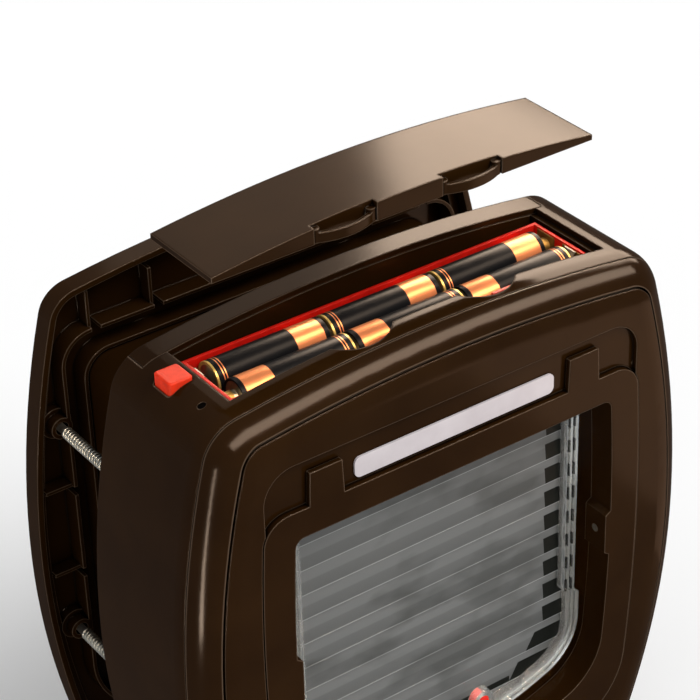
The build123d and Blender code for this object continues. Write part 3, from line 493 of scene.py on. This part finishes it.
# Inner bezel: brown plate with the window, its lip and two grip tabs, snapped in the
# front cover. A small sensor lens looks out of each cheek pad.
dress(glossy_brown, "inner_bezel")
dress(dull_plastic("pale_lens", (0.1, 0.085, 0.065), 0.25, 0.05), "sensor_lenses")


# Bare plate: a thin strip with rounded corners, cut from sheet with a satin silver
# lacquer and stuck in the recessed band above the window.
def satin_strip(name):
    """Silver lacquer with a faint cloud and grain."""
    material, tree, shader, place = new_finish(name)
    cloud = noise(tree, place, 90, 5)
    silver = tint(tree, cloud, [(0.3, (0.52, 0.475, 0.49)), (0.7, (0.58, 0.535, 0.55))])
    tree.links.new(silver, shader.inputs["Base Color"])
    shader.inputs["Metallic"].default_value = 0.02
    shader.inputs["Specular IOR Level"].default_value = 0.06
    grain = noise(tree, place, 3200, 2)
    tree.links.new(spread(tree, grain, 0.34, 0.5), shader.inputs["Roughness"])
    bump = put(tree, "ShaderNodeBump", {"Strength": 0.08, "Distance": 0.0001}, {"Height": grain})
    tree.links.new(bump.outputs["Normal"], shader.inputs["Normal"])
    return material


dress(satin_strip("satin_silver"), "name_plate")


# Flap: clear grey plastic moulded with twelve prisms across a thin sheet, in a ridged
# clear rim. It hangs on a steel rod, and two red-capped magnets hold it at rest.
def calc(tree, operation, a, b=0.0):
    """One sum on the piece's coordinates."""
    node = tree.nodes.new("ShaderNodeMath")
    node.operation = operation
    for index, value in enumerate((a, b)):
        if isinstance(value, (int, float)):
            node.inputs[index].default_value = value
        else:
            tree.links.new(value, node.inputs[index])
    return node.outputs["Value"]


def between(tree, value, low, high):
    """1 where the value lies between two limits, else 0."""
    above = calc(tree, "GREATER_THAN", value, low)
    return calc(tree, "MULTIPLY", above, calc(tree, "LESS_THAN", value, high))


def distance(tree, value, middle):
    """How far a coordinate lies from a line."""
    return calc(tree, "ABSOLUTE", calc(tree, "SUBTRACT", value, middle))


def prism_share(tree, level):
    """Share of a prism's height, from 0 at its arris to 1 at the next above."""
    prism_pitch = 0.0114
    first_arris = -0.0788
    up = calc(tree, "SUBTRACT", level, first_arris)
    return calc(tree, "FRACT", calc(tree, "DIVIDE", up, prism_pitch))


def prism_sheet(name):
    """Frosted prisms, in painted light: arris highlights, shade above, smears, dark panes at end
    and bosses.
    """
    material, tree, shader, place = new_finish(name)
    shader.inputs["Transmission Weight"].default_value = 0.25
    shader.inputs["IOR"].default_value = 1.15
    shader.inputs["Specular IOR Level"].default_value = 0.06
    axes = put(tree, "ShaderNodeSeparateXYZ", links={"Vector": place})
    across, level = axes.outputs["X"], axes.outputs["Z"]
    rise = prism_share(tree, level)
    # Painted light: a thin bright line on each arris, painted shade above it, lighter towards the
    # next arris.
    light = (0.48, 0.495, 0.485)
    shade = (0.137, 0.139, 0.135)
    middle = (0.16, 0.162, 0.157)
    pale = (0.2, 0.203, 0.197)
    painted_arris_line = [(0.0, light), (0.013, light)]
    painted_shade_bands = [(0.028, shade), (0.46, middle), (0.52, pale), (1.0, pale)]
    painted_stripes = tint(tree, rise, painted_arris_line + painted_shade_bands)
    # Painted shade: noise smears of darker refraction, and the sheet painted darker towards the
    # right.
    painted_smear_place = put(tree, "ShaderNodeMapping", {"Scale": (28, 28, 60)}, {"Vector": place})
    painted_smear = noise(tree, painted_smear_place.outputs["Vector"], 1.0, 3)
    painted_smear = calc(tree, "SUBTRACT", painted_smear, calc(tree, "MULTIPLY", across, 1.2))
    cloud = tint(tree, painted_smear, [(0.34, (0.68, 0.68, 0.67)), (0.5, (1, 1, 1))])
    painted_prism_light = blend(tree, "MULTIPLY", painted_stripes, cloud)
    # Painted shade: the shaded tunnel behind is painted dark in the clear panes at the end and at
    # the bosses.
    pane_edge, corner_level, corner_slope = 0.0552, -0.044, 0.75
    lowering = calc(tree, "MAXIMUM", calc(tree, "SUBTRACT", corner_level, level), 0.0)
    inner = calc(tree, "SUBTRACT", pane_edge, calc(tree, "MULTIPLY", lowering, corner_slope))
    at_end = calc(tree, "GREATER_THAN", across, inner)
    boss_place, boss_reach, boss_top = 0.022, 0.016, -0.0645
    off_boss = distance(tree, calc(tree, "ABSOLUTE", across), boss_place)
    near_boss = calc(tree, "LESS_THAN", off_boss, boss_reach)
    at_boss = calc(tree, "MULTIPLY", near_boss, calc(tree, "LESS_THAN", level, boss_top))
    at_pane = calc(tree, "MAXIMUM", at_end, at_boss)
    painted_pane_shade = calc(tree, "MULTIPLY", at_pane, between(tree, rise, 0.02, 0.62))
    seen = blend(tree, "MIX", painted_prism_light, (0.012, 0.013, 0.011, 1), painted_pane_shade)
    tree.links.new(seen, shader.inputs["Base Color"])
    shader.inputs["Roughness"].default_value = 0.3
    return material


def clear_rim(name):
    """Clear plastic of rim, barrel and bosses; its ridges repeat the painted pane shade."""
    material, tree, shader, place = new_finish(name)
    shader.inputs["Transmission Weight"].default_value = 0.85
    shader.inputs["IOR"].default_value = 1.32
    shader.inputs["Specular IOR Level"].default_value = 0.15
    cloud = noise(tree, place, 180, 3)
    glass = tint(tree, cloud, [(0.3, (0.72, 0.75, 0.74)), (0.7, (0.84, 0.87, 0.86))])
    axes = put(tree, "ShaderNodeSeparateXYZ", links={"Vector": place})
    across, level = axes.outputs["X"], axes.outputs["Z"]
    # Painted shade: the dark pane bands are painted again on the rim's two ridges, above a given
    # level.
    pane = between(tree, prism_share(tree, level), 0.06, 0.58)
    inner_ridge = distance(tree, across, 0.065)
    outer_ridge = distance(tree, across, 0.0676)
    ridge_half, ridge_shade_foot = 0.0007, -0.036
    off_ridge = calc(tree, "MINIMUM", inner_ridge, outer_ridge)
    ridge = calc(tree, "MULTIPLY", calc(tree, "LESS_THAN", off_ridge, ridge_half), pane)
    painted_ridge_shade = calc(tree, "MULTIPLY", ridge, calc(tree, "GREATER_THAN", level, ridge_shade_foot))
    seen = blend(tree, "MIX", glass, (0.06, 0.062, 0.06, 1), painted_ridge_shade)
    tree.links.new(seen, shader.inputs["Base Color"])
    tree.links.new(spread(tree, cloud, 0.06, 0.13), shader.inputs["Roughness"])
    edge = put(tree, "ShaderNodeBevel", {"Radius": 0.0006})
    edge.samples = 4
    tree.links.new(edge.outputs["Normal"], shader.inputs["Normal"])
    return material


dress(prism_sheet("prism_sheet"), "flap")
flap = nodes["flap"]
flap.data.materials.append(clear_rim("clear_rim"))
flap_plane = -0.054
sheet_half = 0.00175
for face in flap.data.polygons:
    depth = max(abs(flap.data.vertices[i].co.y - flap_plane) for i in face.vertices)
    if depth > sheet_half:
        face.material_index = 1
dress(red_moulding("magnet_red", (0.8, 0.03, 0.02), 0.35), "flap_magnets")
dress(spring_strip, "flap_axle")


# Latch and sill magnets: black bar with two prongs, its coil box and the dark ferrite
# blocks that face the magnets of the flap, all under the sill.
dress(dull_plastic("latch_black", (0.02, 0.02, 0.02), 0.45), "latch_bar")
dress(dull_plastic("ferrite", (0.05, 0.05, 0.052), 0.55), "sill_magnets", "latch_coil")


# Stage: pale floor under a white surround, a broad soft key from the front, soft boxes
# over the front and behind at the right, cards on the floor at both sides, the camera.
floor_level = cad_box[0].z - 0.0005
bpy.ops.mesh.primitive_plane_add(size=14, location=(0, 0, floor_level))
floor = bpy.context.object
floor.name = "floor"
floor_paint = bpy.data.materials.new("floor_paint")
floor_paint.use_nodes = True
paper = floor_paint.node_tree.nodes["Principled BSDF"]
paper.inputs["Base Color"].default_value = (0.85, 0.85, 0.85, 1)
paper.inputs["Roughness"].default_value = 0.95
paper.inputs["Specular IOR Level"].default_value = 0.0
paper.inputs["Emission Color"].default_value = (1, 1, 1, 1)
floor.data.materials.append(floor_paint)


def background_rays(tree):
    """Rays that show the white surround: the camera's, off gloss and through glass."""
    rays = put(tree, "ShaderNodeLightPath")
    seen = calc(tree, "MAXIMUM", rays.outputs["Is Camera Ray"], rays.outputs["Is Glossy Ray"])
    return calc(tree, "MAXIMUM", seen, rays.outputs["Is Transmission Ray"])


lift = calc(floor_paint.node_tree, "MULTIPLY", background_rays(floor_paint.node_tree), 0.06)
floor_paint.node_tree.links.new(lift, paper.inputs["Emission Strength"])

world = bpy.data.worlds.new("surround")
bpy.context.scene.world = world
world.use_nodes = True
tree = world.node_tree
ambient = tree.nodes["Background"]
ambient.inputs["Color"].default_value = (0.58, 0.58, 0.58, 1)
backdrop = put(tree, "ShaderNodeBackground", {"Color": (1, 1, 1, 1)})
white = put(tree, "ShaderNodeMixShader", links={"Fac": background_rays(tree)})
tree.links.new(ambient.outputs["Background"], white.inputs[1])
tree.links.new(backdrop.outputs["Background"], white.inputs[2])
tree.links.new(white.outputs["Shader"], tree.nodes["World Output"].inputs["Surface"])


bpy.ops.object.light_add(type="SUN", location=(0.6, -1.1, 1.5))
key = bpy.context.object
key.name = "key_light"
key.data.energy = 2.2
key.data.angle = math.radians(45)
key.rotation_euler = Vector((0.321, -0.557, 0.766)).to_track_quat("Z", "Y").to_euler()
key.visible_glossy = False


def soft_box(name, spot, aim, wide, long, glow):
    """Soft box that the gloss picks up; glow is its brightness against white paper."""
    bpy.ops.object.light_add(type="AREA", location=spot)
    box = bpy.context.object
    box.name = name
    box.data.shape = "RECTANGLE"
    box.data.size = wide
    box.data.size_y = long
    box.data.energy = glow * math.pi * wide * long
    box.data.color = (1.0, 0.77, 0.58)
    away = Vector(spot) - Vector(aim)
    box.rotation_euler = away.to_track_quat("Z", "Y").to_euler()
    box.visible_camera = False
    box.visible_diffuse = False
    return box


soft_box("top_box", (0.295, -0.87, 1.223), (0, -0.06, 0.12), 2.6, 0.5, 62)
soft_box("back_box", (1.19, 0.645, 0.965), (0, -0.04, 0.14), 1.25, 0.8, 75)
soft_box("back_fill", (0.63, 1.145, 1.01), (0, -0.04, 0.14), 0.56, 0.55, 6)
card_level = floor_level + 0.004
face_up = math.radians(180)
card = soft_box("floor_card", (-0.81, -0.351, card_level), (-0.81, -0.351, -1), 0.045, 1.0, 115)
card.rotation_euler = (face_up, 0, math.radians(-70))
card = soft_box("warm_card", (0.39, -0.29, card_level), (0.39, -0.29, -1), 0.34, 0.42, 5.5)
card.rotation_euler = (face_up, 0, 0)
card.data.color = (1.0, 0.6, 0.38)

bpy.ops.object.camera_add(location=(-0.448842, -0.652328, 0.581489))
camera = bpy.context.object
camera.rotation_euler = [math.radians(turn) for turn in (57.63527, 1.57218, -35.68871)]
camera.data.sensor_width = 36
camera.data.lens = 125.365
camera.data.clip_start = 0.01
bpy.context.scene.camera = camera
bpy.context.scene.view_settings.view_transform = "Standard"
